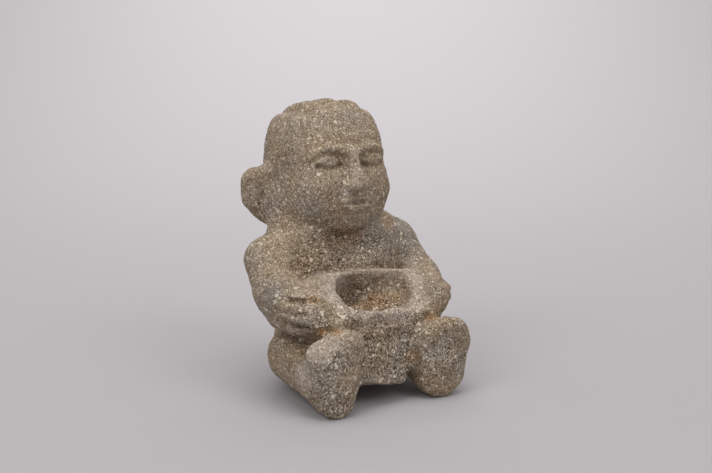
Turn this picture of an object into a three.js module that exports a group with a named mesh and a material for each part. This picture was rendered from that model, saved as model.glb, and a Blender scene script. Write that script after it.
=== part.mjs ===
// A seated stone figure that holds a bowl in its lap, carved from one piece of grey-brown andesite.
// Millimetres, +Z up. The figure faces -Y and its left side is +X.
// While it is shaped, X is 0 at the middle of the body, Y is 0 near the soles of the feet and Z is 0
// at the floor. At the end it is moved so that the middle of its box stands over the origin.
//
// The form is a distance field: each part of the body is a function that gives the distance from a
// point to its surface, less than 0 inside the stone. Parts are joined with soft fillets, as carved
// stone has, and grooves are raised or lowered on the surface. The field is then turned into faces.

import * as THREE from 'three';

// Driving dimensions
const HEIGHT = 151.7;
const HEAD_HALF = [28.8, 33, 35.7];
const HEAD_MIDDLE = [0.4, 69.5, HEIGHT - HEAD_HALF[2]];
const TRUNK_LOW = [0, 46, 26];
const TRUNK_HIGH = [0, 59.5, 74];
const TRUNK_RADIUS = 21.5;
const SHOULDER = [40.6, 57.5, 71];
const ELBOW = [42, 37.5, 55.5];
const WRIST = [38.6, 20, 51];
const BOWL_MOUTH = [1, 16, 58.3];
const BOWL_HALF = [21.2, 11.8, 13];
const BOWL_TILT = THREE.MathUtils.degToRad(48);
const HIP = [29, 47, 20.5];
const ANKLE = [31, 9.5, 18.4];
const SEAT = { middle: [0, 60, 20], half: [31, 24, 20.8], squareness: 2.6 };
const ORIGIN_SHIFT = [0.65, -49.32, 0];

// How finely the surface is sampled, within which box, and how many faces are kept
const GRID_STEP = 1.5;
const GRID_LOW = [-56, -8, -4];
const GRID_HIGH = [56, 106, 154];
const FACES_KEPT = 9300;

const { clamp, smoothstep } = THREE.MathUtils;

// Tools for shaping

// two forms joined with a fillet of the given size
function join(a, b, fillet) {
  const near = Math.max(fillet - Math.abs(a - b), 0) / fillet;
  return Math.min(a, b) - near * near * fillet * 0.25;
}

// what two forms have in common, with the edge eased by the given size
function keep(a, b, ease) {
  return -join(-a, -b, ease);
}

// a rounded form between an ellipsoid, with squareness 2, and a box, with squareness 4 and more
function swelling(x, y, z, { middle, half, squareness = 2 }) {
  const tiny = 1e-6;
  const u = Math.abs(x - middle[0]) / half[0] + tiny;
  const v = Math.abs(y - middle[1]) / half[1] + tiny;
  const w = Math.abs(z - middle[2]) / half[2] + tiny;
  const reach = (u ** squareness + v ** squareness + w ** squareness) ** (1 / squareness);
  const steep = Math.hypot(
    u ** (squareness - 1) / half[0],
    v ** (squareness - 1) / half[1],
    w ** (squareness - 1) / half[2],
  );
  return ((reach - 1) * reach ** (squareness - 1)) / steep;
}

// a block with rounded edges
function block(x, y, z, { middle, half, edge }) {
  const u = Math.abs(x - middle[0]) - half[0] + edge;
  const v = Math.abs(y - middle[1]) - half[1] + edge;
  const w = Math.abs(z - middle[2]) - half[2] + edge;
  const outside = Math.hypot(Math.max(u, 0), Math.max(v, 0), Math.max(w, 0));
  return outside + Math.min(Math.max(u, v, w), 0) - edge;
}

// a limb from one point to another, with a radius at each end
function limb(x, y, z, { from, to, radii }) {
  const dx = to[0] - from[0];
  const dy = to[1] - from[1];
  const dz = to[2] - from[2];
  const along = (x - from[0]) * dx + (y - from[1]) * dy + (z - from[2]) * dz;
  const t = clamp(along / (dx * dx + dy * dy + dz * dz), 0, 1);
  const away = Math.hypot(x - from[0] - dx * t, y - from[1] - dy * t, z - from[2] - dz * t);
  return away - radii[0] - (radii[1] - radii[0]) * t;
}

// distance in a plane from a point to a line drawn through the given points
function stroke(u, v, points) {
  let least = Infinity;
  for (let i = 1; i < points.length; i += 1) {
    const [au, av] = points[i - 1];
    const [bu, bv] = points[i];
    const du = bu - au;
    const dv = bv - av;
    const t = clamp(((u - au) * du + (v - av) * dv) / (du * du + dv * dv), 0, 1);
    least = Math.min(least, Math.hypot(u - au - du * t, v - av - dv * t));
  }
  return least;
}

// distance in a plane to an outline of straight sides, less than 0 inside it
function outline(u, v, points) {
  let inside = false;
  let last = points[points.length - 1];
  for (const point of points) {
    const crosses = point[1] > v !== last[1] > v;
    if (crosses && u < ((last[0] - point[0]) * (v - point[1])) / (last[1] - point[1]) + point[0]) {
      inside = !inside;
    }
    last = point;
  }
  const away = stroke(u, v, [...points, points[0]]);
  return inside ? -away : away;
}

// a flat slab with rounded edges: away is the distance to its outline in the slab's plane, and
// across is the distance from the slab's middle plane
function slab(away, across, halfThickness, edge) {
  const u = away + edge;
  const v = Math.abs(across) - halfThickness + edge;
  return Math.min(Math.max(u, v), 0) + Math.hypot(Math.max(u, 0), Math.max(v, 0)) - edge;
}

// the rounded profile of a ridge or a groove, 1 on its line and 0 well away from it
function ridge(away, width) {
  return Math.exp(-((away / width) ** 2));
}

// a soft mound or hollow round a point, 1 at its middle and 0 well away from it
function mound(x, y, z, { middle, width }) {
  return ridge(Math.hypot(x - middle[0], y - middle[1], z - middle[2]), width);
}

// Head: a tall rounded skull that leans a little to the figure's left, and a broad jaw, all tipped
// back a little
const HEAD_TILT = THREE.MathUtils.degToRad(6);
const SKULL_TAPER = 0.0004;
const SKULL_LEAN = 0.022;
const SKULL = { middle: [0, 0, 0], half: HEAD_HALF, squareness: 2.6 };
const JAW = { middle: [0, -6.5, -18], half: [27, 24.5, 15.5], squareness: 2.5 };

// where a place in the head was before it was tipped back
function tipped(y, z) {
  const back = y - HEAD_MIDDLE[1];
  const up = z - HEAD_MIDDLE[2];
  const cos = Math.cos(HEAD_TILT);
  const sin = Math.sin(HEAD_TILT);
  return [HEAD_MIDDLE[1] + back * cos - up * sin, HEAD_MIDDLE[2] + back * sin + up * cos];
}

function skull(x, y, z) {
  const back = y - HEAD_MIDDLE[1];
  const up = z - HEAD_MIDDLE[2];
  const aside = (x - HEAD_MIDDLE[0] - SKULL_LEAN * up) / (1 - SKULL_TAPER * up);
  return join(swelling(aside, back, up, SKULL), swelling(x, back, up, JAW), 10);
}

// Hair: five rolls that run back over the crown and down to the nape, parted by four furrows
// that draw together a little at the front and at the nape
const FURROWS = [
  { at: -16.2, deep: 2.6 },
  { at: -4.8, deep: 2.6 },
  { at: 7.2, deep: 2.8 },
  { at: 18.2, deep: 2.4 },
];
const FURROW_WIDTH = 2.3;
const ROLL_SWELL = 0.9;
const DRAWN_TOGETHER = 0.16;
const LOBES = [
  { high: 0.8, middle: [21, 58, 146], width: 9 },
  { high: 2.4, middle: [-14, 88, 141], width: 9 },
];

function hair(x, y, z) {
  const crown = smoothstep(y, 42, 58) * smoothstep(z, 112, 134);
  const nape = smoothstep(y, 74, 90) * smoothstep(z, 98, 108);
  const fromTop = (y - HEAD_MIDDLE[1] - 2.5) / 30;
  const spread = 1 - DRAWN_TOGETHER * fromTop ** 2;
  let relief = -ROLL_SWELL;
  for (const furrow of FURROWS) {
    relief += furrow.deep * ridge(x - furrow.at * spread, FURROW_WIDTH);
  }
  relief *= Math.max(crown, nape);
  for (const lobe of LOBES) relief -= lobe.high * mound(x, y, z, lobe);
  return relief;
}

// Face: calm, with closed eyes. The eyes lie at half the head's height, the end of the nose halfway
// from brow to chin and the mouth a third of the way from nose to chin. Its forms are placed
// outward from the middle of the face, back from the forehead's plane and up from the eyes.
const EYE_LEVEL = HEAD_MIDDLE[2] + 2.5;
const FACE_PLANE = HEAD_MIDDLE[1] - HEAD_HALF[1];
const EYE_OUT = 12.5;
const SOCKET = { middle: [EYE_OUT, -2.2, 0.3], half: [9.4, 6.4, 5.8] };
const EYEBALL = { middle: [EYE_OUT, 6.5, 0], half: [7.6, 5.5, 4.5] };
const CHEEK = { middle: [14, 9.5, -12.5], half: [10, 8.2, 9] };
const MUZZLE = { middle: [0, 6.9, -21.5], half: [11.5, 6.9, 7.5] };
const NOSE = { from: [0, 0.4, 5], to: [0, -3.2, -11.1], radii: [2.4, 3.9] };
const NOSTRIL = { middle: [4.3, -0.1, -12.1], half: [3.3, 4, 2.9] };
const CHIN = { middle: [0, 10.1, -29.9], half: [10, 7.6, 6] };
const BROW_LINE = [[2.5, 5.3], [8, 7.4], [13, 7.8], [18, 6.4], [21.5, 3.5]];
const LID_LINE = [[5, -0.9], [8.2, 2.2], [12.4, 3.4], [16.6, 2.2], [20, -0.7]];
const LASHES_LINE = [[5.8, -1.2], [9, -2.3], [12.6, -2.7], [16, -2.3], [19.2, -1]];
const UPPER_LIP_LINE = [[0, -19.5], [2.5, -18.9], [5.6, -19.7], [8.4, -20.9]];
const LOWER_LIP_LINE = [[0, -23.8], [3.6, -23.5], [6.8, -22.3]];
const LIPS_MEET_LINE = [[0, -21.4], [4.6, -21.2], [9.2, -21.5]];
const EYE_RELIEF = [
  { raise: 1.5, width: 2.2, line: BROW_LINE },
  { raise: 0.9, width: 1, line: LID_LINE },
  { raise: -1.4, width: 0.9, line: LASHES_LINE },
];
const MOUTH_RELIEF = [
  { raise: 1.2, width: 1.7, line: UPPER_LIP_LINE },
  { raise: 1.4, width: 2, line: LOWER_LIP_LINE },
  { raise: -1.6, width: 1, line: LIPS_MEET_LINE },
];

// how high the given lines stand above the face, less than 0 where they are cut into it
function raised(out, up, lines) {
  let height = 0;
  for (const { raise, width, line } of lines) height += raise * ridge(stroke(out, up, line), width);
  return height;
}

function face(x, y, z, head) {
  const out = Math.abs(x);
  const back = y - FACE_PLANE;
  const up = z - EYE_LEVEL;
  const front = smoothstep(-y, -62, -52);
  const nose = join(limb(x, back, up, NOSE), swelling(out, back, up, NOSTRIL), 2.5);
  let form = keep(head, -swelling(out, back, up, SOCKET), 4);
  form = join(form, swelling(out, back, up, EYEBALL), 1);
  form -= raised(out, up, EYE_RELIEF) * front;
  form = join(form, swelling(out, back, up, CHEEK), 8);
  form = join(form, swelling(x, back, up, MUZZLE), 6);
  form = join(form, nose, 3);
  form -= raised(out, up, MOUTH_RELIEF) * front;
  return join(form, swelling(x, back, up, CHIN), 5);
}

// Ears: thick plain lobes, broad above and drawn in to the jaw below
const EAR = { corners: [[33.2, 108], [33.2, 101], [27, 94.8], [22, 109.5]], rounding: 9.4 };
const EAR_HALF_THICKNESS = 5.6;
const EAR_EDGE = 4.6;
const EAR_BACK = HEAD_MIDDLE[1] + 10;
const EAR_OUTWARD_TURN = 0.25;

function ears(x, y, z) {
  const out = Math.abs(x);
  const away = outline(out, z, EAR.corners) - EAR.rounding;
  const across = y - EAR_BACK - EAR_OUTWARD_TURN * (out - 30);
  return slab(away, across, EAR_HALF_THICKNESS, EAR_EDGE);
}

// Trunk: an oval column that leans back and widens upward, a thick neck and sloping shoulders.
// The figure's right shoulder, at -X, is carved lower than the left. A hollow under the chin leaves
// the jaw standing out over the chest.
const TRUNK_BREADTH = [1.4545, 1.7273];
const NECK_BREADTH = 1.45;
const NECK = { from: [-0.4, 63, 78], to: [-0.4, 70.8, 97], radii: [22.3, 22.3] };
const YOKE = { from: [14, 64, 88], to: [37, 58.5, 76], radii: [8, 11.2] };
const RIGHT_DROP = 6;
const LEFT_DROP = 0.8;
const THROAT = { middle: [0, 31, 81], half: [30, 14.5, 9.5] };

function trunk(x, y, z, left) {
  const rise = TRUNK_HIGH[2] - TRUNK_LOW[2];
  const lean = TRUNK_HIGH[1] - TRUNK_LOW[1];
  const along = (y - TRUNK_LOW[1]) * lean + (z - TRUNK_LOW[2]) * rise;
  const t = clamp(along / (lean * lean + rise * rise), 0, 1);
  const breadth = TRUNK_BREADTH[0] + (TRUNK_BREADTH[1] - TRUNK_BREADTH[0]) * t;
  const column = Math.hypot(x / breadth, y - TRUNK_LOW[1] - lean * t, z - TRUNK_LOW[2] - rise * t);
  const neck = limb(x / NECK_BREADTH, y, z, NECK);
  const drop = RIGHT_DROP + (LEFT_DROP - RIGHT_DROP) * left;
  const yoke = limb(Math.abs(x), y, z + drop, YOKE);
  return keep(join(join(column - TRUNK_RADIUS, neck, 8), yoke, 6), -swelling(x, y, z, THROAT), 6);
}

// Arms: bent, with the forearms level along the sides of the bowl. The hand's height is drawn out,
// and three grooves part its four fingers, which lie stacked on the bowl's side. The right elbow is
// fuller than the left, the left wrist fuller than the right, the heel of the right hand hangs over
// the thigh, and the gap under that hand is deeper.
const UPPER_ARM = { from: SHOULDER, to: ELBOW, radii: [11.8, 10.2] };
const FOREARM = { from: ELBOW, to: WRIST, radii: [10.2, 9.2] };
const HAND_TALLER = 1.2;
const HAND = { from: [37, 27, 50 / HAND_TALLER], to: [35.5, 13.5, 49 / HAND_TALLER], radii: [8, 7] };
const PALM = { from: [33.5, 30, 42.5], to: [32, 13.5, 42.5], radii: [6.5, 5.5] };
const LEFT_PALM_MOVE = { inward: 1.6, up: 0.8 };
const LEFT_GROOVES_SHALLOWER = 0.5;
const FINGER_GROOVES = [
  { at: 57.4, deep: 1.8, width: 1.2 },
  { at: 51.4, deep: 1.6, width: 1.2 },
  { at: 45, deep: 2.4, width: 1.4 },
];
const GROOVE_SLOPE = 0.03;
const RIGHT_ELBOW = { high: 2.3, middle: [-51, 47, 55], width: 12 };
const LEFT_WRIST = { high: 1.8, middle: [48, 19, 50], width: 7 };
const HEEL_OF_HAND = { from: [-43, 37.5, 44.2], to: [-37.5, 20, 41.5], radii: [5.8, 5.5] };
const UNDER_HAND = { deep: 4, middle: [-38, 17, 35.5], width: 7 };

function arms(x, y, z, left) {
  const out = Math.abs(x);
  const hand = limb(out, y, z / HAND_TALLER, HAND);
  const palm = limb(out + LEFT_PALM_MOVE.inward * left, y, z - LEFT_PALM_MOVE.up * left, PALM);
  let form = join(limb(out, y, z, UPPER_ARM), limb(out, y, z, FOREARM), 6);
  form = join(form, join(hand, palm, 5), 6);
  form = join(form, limb(x, y, z, HEEL_OF_HAND), 4);
  const overFingers = smoothstep(y, 8.5, 12.5) * smoothstep(-y, -28, -22) * smoothstep(out, 33, 38);
  const depth = overFingers * (1 - LEFT_GROOVES_SHALLOWER * left);
  for (const groove of FINGER_GROOVES) {
    form += groove.deep * ridge(z - groove.at + GROOVE_SLOPE * (y - 18), groove.width) * depth;
  }
  form -= RIGHT_ELBOW.high * mound(x, y, z, RIGHT_ELBOW);
  return form - LEFT_WRIST.high * mound(x, y, z, LEFT_WRIST);
}

// Bowl: a thick block between the hands. Its mouth is tilted forward and its hollow is rounded and
// scooped deeper at its right, with a softer edge at the back. The rim behind the hollow falls away
// towards the arms, more to its left, and the front is undercut where it meets the block in the lap.
const BOWL_BLOCK = { middle: [0, 25.2, 52], half: [38, 20, 19.5], edge: 9 };
const BOWL_HOLLOW = { middle: [BOWL_MOUTH[0], 0, 0], half: BOWL_HALF, squareness: 2.6 };
const SCOOP = { middle: [-8, 4.5, -8], half: [10.5, 6.5, 11] };
const HOLLOW_EDGE = { front: 1.5, back: 5 };
const UNDERCUT = { at: 43.5, deep: 2.2, width: 3.4, middle: -3, reach: 20, fade: 4 };
const BACK_RIM = { height: 68, at: 24.5, slope: 0.3, levelTo: 18, fall: 0.01, leftLower: 0.1 };

// how far a point is up the slope of the mouth, and how far it stands out of it
function fromMouth(y, z) {
  const back = y - BOWL_MOUTH[1];
  const up = z - BOWL_MOUTH[2];
  const cos = Math.cos(BOWL_TILT);
  const sin = Math.sin(BOWL_TILT);
  return { upSlope: back * cos + up * sin, proud: up * cos - back * sin };
}

function bowl(x, y, z) {
  const fall = BACK_RIM.fall * Math.max(Math.abs(x) - BACK_RIM.levelTo, 0) ** 2;
  const lower = BACK_RIM.leftLower * Math.max(x, 0);
  const rim = (z - BACK_RIM.height + BACK_RIM.slope * (y - BACK_RIM.at)) * 0.95 + fall + lower;
  return keep(keep(block(x, y, z, BOWL_BLOCK), fromMouth(y, z).proud, 1.6), rim, 1.6);
}

function bowlHollow(x, y, z) {
  const { upSlope, proud } = fromMouth(y, z);
  return join(swelling(x, upSlope, proud, BOWL_HOLLOW), swelling(x, upSlope, proud, SCOOP), 1.5);
}

function undercut(x, y, z) {
  const { at, deep, width, middle, reach, fade } = UNDERCUT;
  const across = 1 - smoothstep(Math.abs(x - middle), reach - fade, reach);
  return deep * ridge(z - at, width) * across * smoothstep(-y, -14, -10);
}

// Lap: thick legs stretched forward, a broad seat, and the plain block between the shins that
// carries the bowl and ends above the floor. Its underside slants, its front leans back and its
// left side widens upward to the left foot.
const LEG = { from: ANKLE, to: HIP, radii: [14.4, 15.5] };
const LEFT_LEG_RISE = 3;
const LAP_BLOCK = { middle: [-4.7, 24, 30], half: [17.5, 20.6, 19.4], edge: 3 };
const LAP_BLOCK_SLANT = 0.14;
const LAP_BLOCK_LEAN = 0.09;
const LAP_BLOCK_WIDER = 4;
const LAP_BLOCK_TOP_WIDER = 6;

function legs(x, y, z, left) {
  const raise = LEFT_LEG_RISE * left * clamp((y - 8) / 20, 0, 1);
  return limb(Math.abs(x), y, z - raise, LEG);
}

function lapBlock(x, y, z) {
  const wider = LAP_BLOCK_WIDER * smoothstep(z, 12, 19) + LAP_BLOCK_TOP_WIDER * smoothstep(z, 21, 27);
  const aside = x - wider * smoothstep(x, -8, 14);
  return block(aside, y - LAP_BLOCK_LEAN * (z - 12), z + LAP_BLOCK_SLANT * x, LAP_BLOCK);
}

// Feet: the soles are upright rounded slabs, broad and thinner at the toes and drawn in to the
// heel. The figure's right foot tapers more than its left, and a plane cuts off the top of its toes.
const RIGHT_SOLE = { corners: [[36.6, 34.6], [24.5, 35], [30.2, 8.8]], rounding: 9.4 };
const LEFT_SOLE = { corners: [[35.6, 28.8], [30, 28.6], [33, 13.4]], rounding: 13.9 };
const SOLE_HALF_THICKNESS = 8.2;
const TOE_THINNING = 3.2;
const SOLE_EDGE = 4.2;
const SOLE_FRONT = { at: -2.9, lean: 0.045, hollow: 0.004 };
const RIGHT_BEVEL = { faces: [0.428, -0.656, 0.622], away: 38.2 };

function foot(out, y, z, sole) {
  const halfThickness = SOLE_HALF_THICKNESS - TOE_THINNING * smoothstep(z, 16, 42);
  const front = SOLE_FRONT.at - SOLE_FRONT.lean * (z - 10) + SOLE_FRONT.hollow * (out - 32) ** 2;
  const away = outline(out, z, sole.corners) - sole.rounding;
  return slab(away, y - front - halfThickness, halfThickness, SOLE_EDGE);
}

// how far a point lies beyond a plane, given the way the plane faces and how far away it is
function beyond(out, y, z, { faces, away }) {
  return out * faces[0] + y * faces[1] + z * faces[2] - away;
}

// Spine: a shallow furrow down the back
const SPINE_DEPTH = 1.2;
const SPINE_WIDTH = 2.6;

function spine(x, y, z) {
  const length = smoothstep(z, 30, 42) * smoothstep(-z, -84, -76);
  return SPINE_DEPTH * ridge(x, SPINE_WIDTH) * length * smoothstep(y, 62, 70);
}

// The whole figure
function stone(x, y, z) {
  const left = smoothstep(x, -6, 6);
  const seat = swelling(x, y, z, SEAT);
  const [headY, headZ] = tipped(y, z);
  const bareHead = skull(x, headY, headZ) + hair(x, headY, headZ);
  const head = join(face(x, headY, headZ, bareHead), ears(x, y, z), 5);
  const lap = join(join(legs(x, y, z, left), seat, 10), lapBlock(x, y, z), 5);
  let form = join(join(trunk(x, y, z, left), seat, 14), head, 2.5);
  form = join(form, arms(x, y, z, left), 4);
  form = join(form, bowl(x, y, z), 2.5);
  form = join(form, lap, 3) + undercut(x, y, z) + UNDER_HAND.deep * mound(x, y, z, UNDER_HAND);
  const rightFoot = keep(foot(-x, y, z, RIGHT_SOLE), beyond(-x, y, z, RIGHT_BEVEL), 1.5);
  form = join(form, rightFoot, 3);
  form = join(form, foot(x, y, z, LEFT_SOLE), 3);
  const edge = HOLLOW_EDGE.front + (HOLLOW_EDGE.back - HOLLOW_EDGE.front) * smoothstep(y, 14, 20);
  form = keep(form, -bowlHollow(x, y, z), edge);
  return form + spine(x, y, z);
}

// From the field to faces

// the slope of the field at a point, by small differences
function slope(x, y, z) {
  const d = 0.05;
  return [
    (stone(x + d, y, z) - stone(x - d, y, z)) / (2 * d),
    (stone(x, y + d, z) - stone(x, y - d, z)) / (2 * d),
    (stone(x, y, z + d) - stone(x, y, z - d)) / (2 * d),
  ];
}

// One point in each cell of a grid that the surface crosses, and a square of four such points
// round each grid edge that it crosses, as two triangles
function wrap(low, high, step) {
  const count = low.map((v, axis) => Math.ceil((high[axis] - v) / step) + 1);
  const strides = [1, count[0], count[0] * count[1]];
  const values = new Float64Array(count[0] * count[1] * count[2]);
  const at = (i, j, k) => i + j * strides[1] + k * strides[2];
  for (let k = 0; k < count[2]; k += 1) {
    for (let j = 0; j < count[1]; j += 1) {
      for (let i = 0; i < count[0]; i += 1) {
        values[at(i, j, k)] = stone(low[0] + i * step, low[1] + j * step, low[2] + k * step);
      }
    }
  }
  fillCornerContacts(values, strides);
  const pointOf = new Map();
  const points = [];
  for (let k = 0; k < count[2] - 1; k += 1) {
    for (let j = 0; j < count[1] - 1; j += 1) {
      for (let i = 0; i < count[0] - 1; i += 1) {
        const middle = crossingMiddle(values, at(i, j, k), strides);
        if (middle) {
          pointOf.set(at(i, j, k), points.length);
          points.push([i, j, k].map((n, axis) => low[axis] + (n + middle[axis]) * step));
        }
      }
    }
  }
  const faces = [];
  for (const cell of pointOf.keys()) {
    for (let axis = 0; axis < 3; axis += 1) {
      const next = cell + strides[axis];
      if (values[cell] < 0 !== values[next] < 0) {
        const u = strides[(axis + 1) % 3];
        const v = strides[(axis + 2) % 3];
        const ring = [cell, cell - u, cell - u - v, cell - v].map((n) => pointOf.get(n));
        if (values[cell] > 0) ring.reverse();
        faces.push([ring[0], ring[1], ring[2]], [ring[0], ring[2], ring[3]]);
      }
    }
  }
  return { points, faces };
}

// Where stone would touch stone only along an edge of the grid, one of the two empty corners
// beside that edge is filled, so that every edge of the surface has just two faces.
function fillCornerContacts(values, strides) {
  const filled = -0.01;
  let found = true;
  while (found) {
    found = false;
    for (let axis = 0; axis < 3; axis += 1) {
      const u = strides[(axis + 1) % 3];
      const v = strides[(axis + 2) % 3];
      for (let cell = 0; cell < values.length - u - v; cell += 1) {
        const straight = [cell, cell + u + v];
        const across = [cell + u, cell + v];
        const isStone = (n) => values[n] < 0;
        const crossed = isStone(straight[0]) !== isStone(across[0])
          && isStone(straight[0]) === isStone(straight[1])
          && isStone(across[0]) === isStone(across[1]);
        if (crossed) {
          const empty = isStone(across[0]) ? straight : across;
          const nearest = values[empty[0]] < values[empty[1]] ? empty[0] : empty[1];
          values[nearest] = filled;
          found = true;
        }
      }
    }
  }
}

// the mean of the places where the surface crosses the edges of one grid cell, or nothing
function crossingMiddle(values, corner, strides) {
  const sum = [0, 0, 0];
  let crossings = 0;
  for (let axis = 0; axis < 3; axis += 1) {
    const u = (axis + 1) % 3;
    const v = (axis + 2) % 3;
    for (let side = 0; side < 4; side += 1) {
      const onU = side & 1;
      const onV = side >> 1;
      const start = corner + onU * strides[u] + onV * strides[v];
      const a = values[start];
      const b = values[start + strides[axis]];
      if (a < 0 !== b < 0) {
        sum[axis] += a / (a - b);
        sum[u] += onU;
        sum[v] += onV;
        crossings += 1;
      }
    }
  }
  return crossings > 0 ? sum.map((total) => total / crossings) : null;
}

// moves each point straight onto the surface
function settle(points) {
  const rounds = 3;
  const gentlest = 0.1;
  for (const point of points) {
    for (let round = 0; round < rounds; round += 1) {
      const steep = slope(...point);
      const squared = steep[0] ** 2 + steep[1] ** 2 + steep[2] ** 2;
      const push = stone(...point) / Math.max(squared, gentlest);
      for (let axis = 0; axis < 3; axis += 1) point[axis] -= push * steep[axis];
    }
  }
}

// flattens what would reach below the floor, so that the figure rests on its heels and its seat
function standFlat(points) {
  for (const point of points) point[2] = Math.max(point[2], 0);
}

// Thinning: edges are closed up one by one, the one that changes the form least first. What a
// change costs is the sum of squared distances to the planes of the faces that met there.

function planeOf(a, b, c) {
  const normal = new THREE.Vector3().subVectors(b, a).cross(new THREE.Vector3().subVectors(c, a));
  const area = normal.length() / 2;
  normal.normalize();
  return { normal, area, offset: -normal.dot(a) };
}

// the ten numbers of the squared distance to a plane, times a weight
function planeCost({ normal, offset }, weight) {
  const { x, y, z } = normal;
  const d = offset;
  const squares = [x * x, x * y, x * z, x * d, y * y, y * z, y * d, z * z, z * d, d * d];
  return squares.map((n) => n * weight);
}

function costAt(q, p) {
  const { x, y, z } = p;
  return q[0] * x * x + 2 * q[1] * x * y + 2 * q[2] * x * z + 2 * q[3] * x + q[4] * y * y
    + 2 * q[5] * y * z + 2 * q[6] * y + q[7] * z * z + 2 * q[8] * z + q[9];
}

// the cheapest place for the point that an edge closes up to: an end, the middle, or the exact
// best place where the planes there fix one that isn't far off
const FIXES_A_PLACE = 1e-3;

function bestPlace(q, a, b) {
  const places = [a, b, a.clone().lerp(b, 0.5)];
  const matrix = new THREE.Matrix3().set(q[0], q[1], q[2], q[1], q[4], q[5], q[2], q[5], q[7]);
  const scale = Math.max(q[0], q[4], q[7]);
  if (Math.abs(matrix.determinant()) > FIXES_A_PLACE * scale ** 3) {
    const exact = new THREE.Vector3(-q[3], -q[6], -q[8]).applyMatrix3(matrix.invert());
    if (exact.distanceTo(places[2]) < 2 * a.distanceTo(b)) places.push(exact);
  }
  const costs = places.map((p) => costAt(q, p));
  const least = costs.indexOf(Math.min(...costs));
  return { place: places[least], cost: Math.max(costs[least], 0) };
}

// a queue that always gives back its cheapest entry
class Queue {
  constructor() {
    this.entries = [];
  }

  push(entry) {
    const list = this.entries;
    let i = list.push(entry) - 1;
    while (i > 0) {
      const parent = (i - 1) >> 1;
      if (list[parent].cost <= entry.cost) break;
      list[i] = list[parent];
      i = parent;
    }
    list[i] = entry;
  }

  pop() {
    const list = this.entries;
    const first = list[0];
    const last = list.pop();
    if (list.length === 0) return first;
    let i = 0;
    for (let child = 1; child < list.length; child = 2 * i + 1) {
      if (child + 1 < list.length && list[child + 1].cost < list[child].cost) child += 1;
      if (list[child].cost >= last.cost) break;
      list[i] = list[child];
      i = child;
    }
    list[i] = last;
    return first;
  }
}

// how much more the form matters at a place, because the face and the hands are carved finest
const CARE_FOR_FACE = 5;
const CARE_FOR_HANDS = 2;

function careAt({ x, y, z }) {
  const onFace = smoothstep(-y, -56, -46) * smoothstep(z, 80, 86) * smoothstep(-z, -134, -126);
  const onHands = smoothstep(Math.abs(x), 30, 36) * smoothstep(z, 38, 42) * smoothstep(-y, -30, -24);
  return 1 + CARE_FOR_FACE * onFace + CARE_FOR_HANDS * onHands;
}

// an edge isn't closed up where a face would turn by more than 60 degrees or become a sliver
const LEAST_COS_OF_TURN = 0.5;
const LEAST_FATNESS = 0.04;
const SHORT_EDGES_FIRST = 1e-4;

function thin({ points, faces }, wanted) {
  const place = points.map((p) => new THREE.Vector3(...p));
  const corners = faces.map((f) => [...f]);
  const around = points.map(() => new Set());
  const costs = points.map(() => new Array(10).fill(0));
  const version = new Int32Array(points.length);
  corners.forEach((face, index) => {
    const plane = planeOf(...face.map((n) => place[n]));
    const cost = planeCost(plane, plane.area * careAt(place[face[0]]));
    for (const n of face) {
      around[n].add(index);
      cost.forEach((value, i) => { costs[n][i] += value; });
    }
  });
  const queue = new Queue();
  const neighbours = (n) => {
    const found = new Set();
    for (const index of around[n]) corners[index].forEach((m) => found.add(m));
    found.delete(n);
    return found;
  };
  const offer = (a, b) => {
    const sum = costs[a].map((value, i) => value + costs[b][i]);
    const best = bestPlace(sum, place[a], place[b]);
    const cost = best.cost + SHORT_EDGES_FIRST * place[a].distanceToSquared(place[b]);
    queue.push({ a, b, sum, target: best.place, cost, stamp: version[a] + version[b] });
  };
  points.forEach((_, a) => neighbours(a).forEach((b) => { if (a < b) offer(a, b); }));
  const staysSound = (n, gone, target) => {
    for (const index of around[n]) {
      const face = corners[index];
      if (face.includes(gone)) continue;
      const before = planeOf(...face.map((m) => place[m]));
      const moved = face.map((m) => (m === n ? target : place[m]));
      const after = planeOf(...moved);
      const longest = Math.max(
        moved[0].distanceTo(moved[1]),
        moved[1].distanceTo(moved[2]),
        moved[2].distanceTo(moved[0]),
      );
      const turned = before.normal.dot(after.normal) < LEAST_COS_OF_TURN;
      if (turned || after.area < LEAST_FATNESS * longest ** 2) return false;
    }
    return true;
  };
  let left = corners.length;
  while (left > wanted && queue.entries.length > 0) {
    const { a, b, sum, target, stamp } = queue.pop();
    const alive = around[a].size > 0 && around[b].size > 0 && stamp === version[a] + version[b];
    if (!alive) continue;
    const shared = [...neighbours(a)].filter((n) => neighbours(b).has(n));
    if (shared.length !== 2 || !staysSound(a, b, target) || !staysSound(b, a, target)) continue;
    for (const index of [...around[b]]) {
      const face = corners[index];
      if (face.includes(a)) {
        face.forEach((n) => around[n].delete(index));
        corners[index] = null;
        left -= 1;
      } else {
        face[face.indexOf(b)] = a;
        around[a].add(index);
      }
    }
    around[b].clear();
    place[a].copy(target);
    costs[a] = sum;
    version[a] = version[a] + version[b] + 1;
    neighbours(a).forEach((n) => offer(a, n));
  }
  return geometryFrom(place, corners.filter(Boolean));
}

// faces as a geometry, with the points that lie almost on the floor put exactly on it
const ALMOST_ON_FLOOR = 0.15;

function geometryFrom(place, faces) {
  const used = new Map();
  const positions = [];
  const index = faces.flat().map((n) => {
    if (!used.has(n)) {
      used.set(n, used.size);
      const { x, y, z } = place[n];
      positions.push(x, y, z < ALMOST_ON_FLOOR ? 0 : z);
    }
    return used.get(n);
  });
  const geometry = new THREE.BufferGeometry();
  geometry.setAttribute('position', new THREE.Float32BufferAttribute(positions, 3));
  geometry.setIndex(index);
  return geometry;
}

// The stone itself

const wrapped = wrap(GRID_LOW, GRID_HIGH, GRID_STEP);
settle(wrapped.points);
standFlat(wrapped.points);
const figureGeometry = thin(wrapped, FACES_KEPT).translate(...ORIGIN_SHIFT);
figureGeometry.computeVertexNormals();

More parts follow.
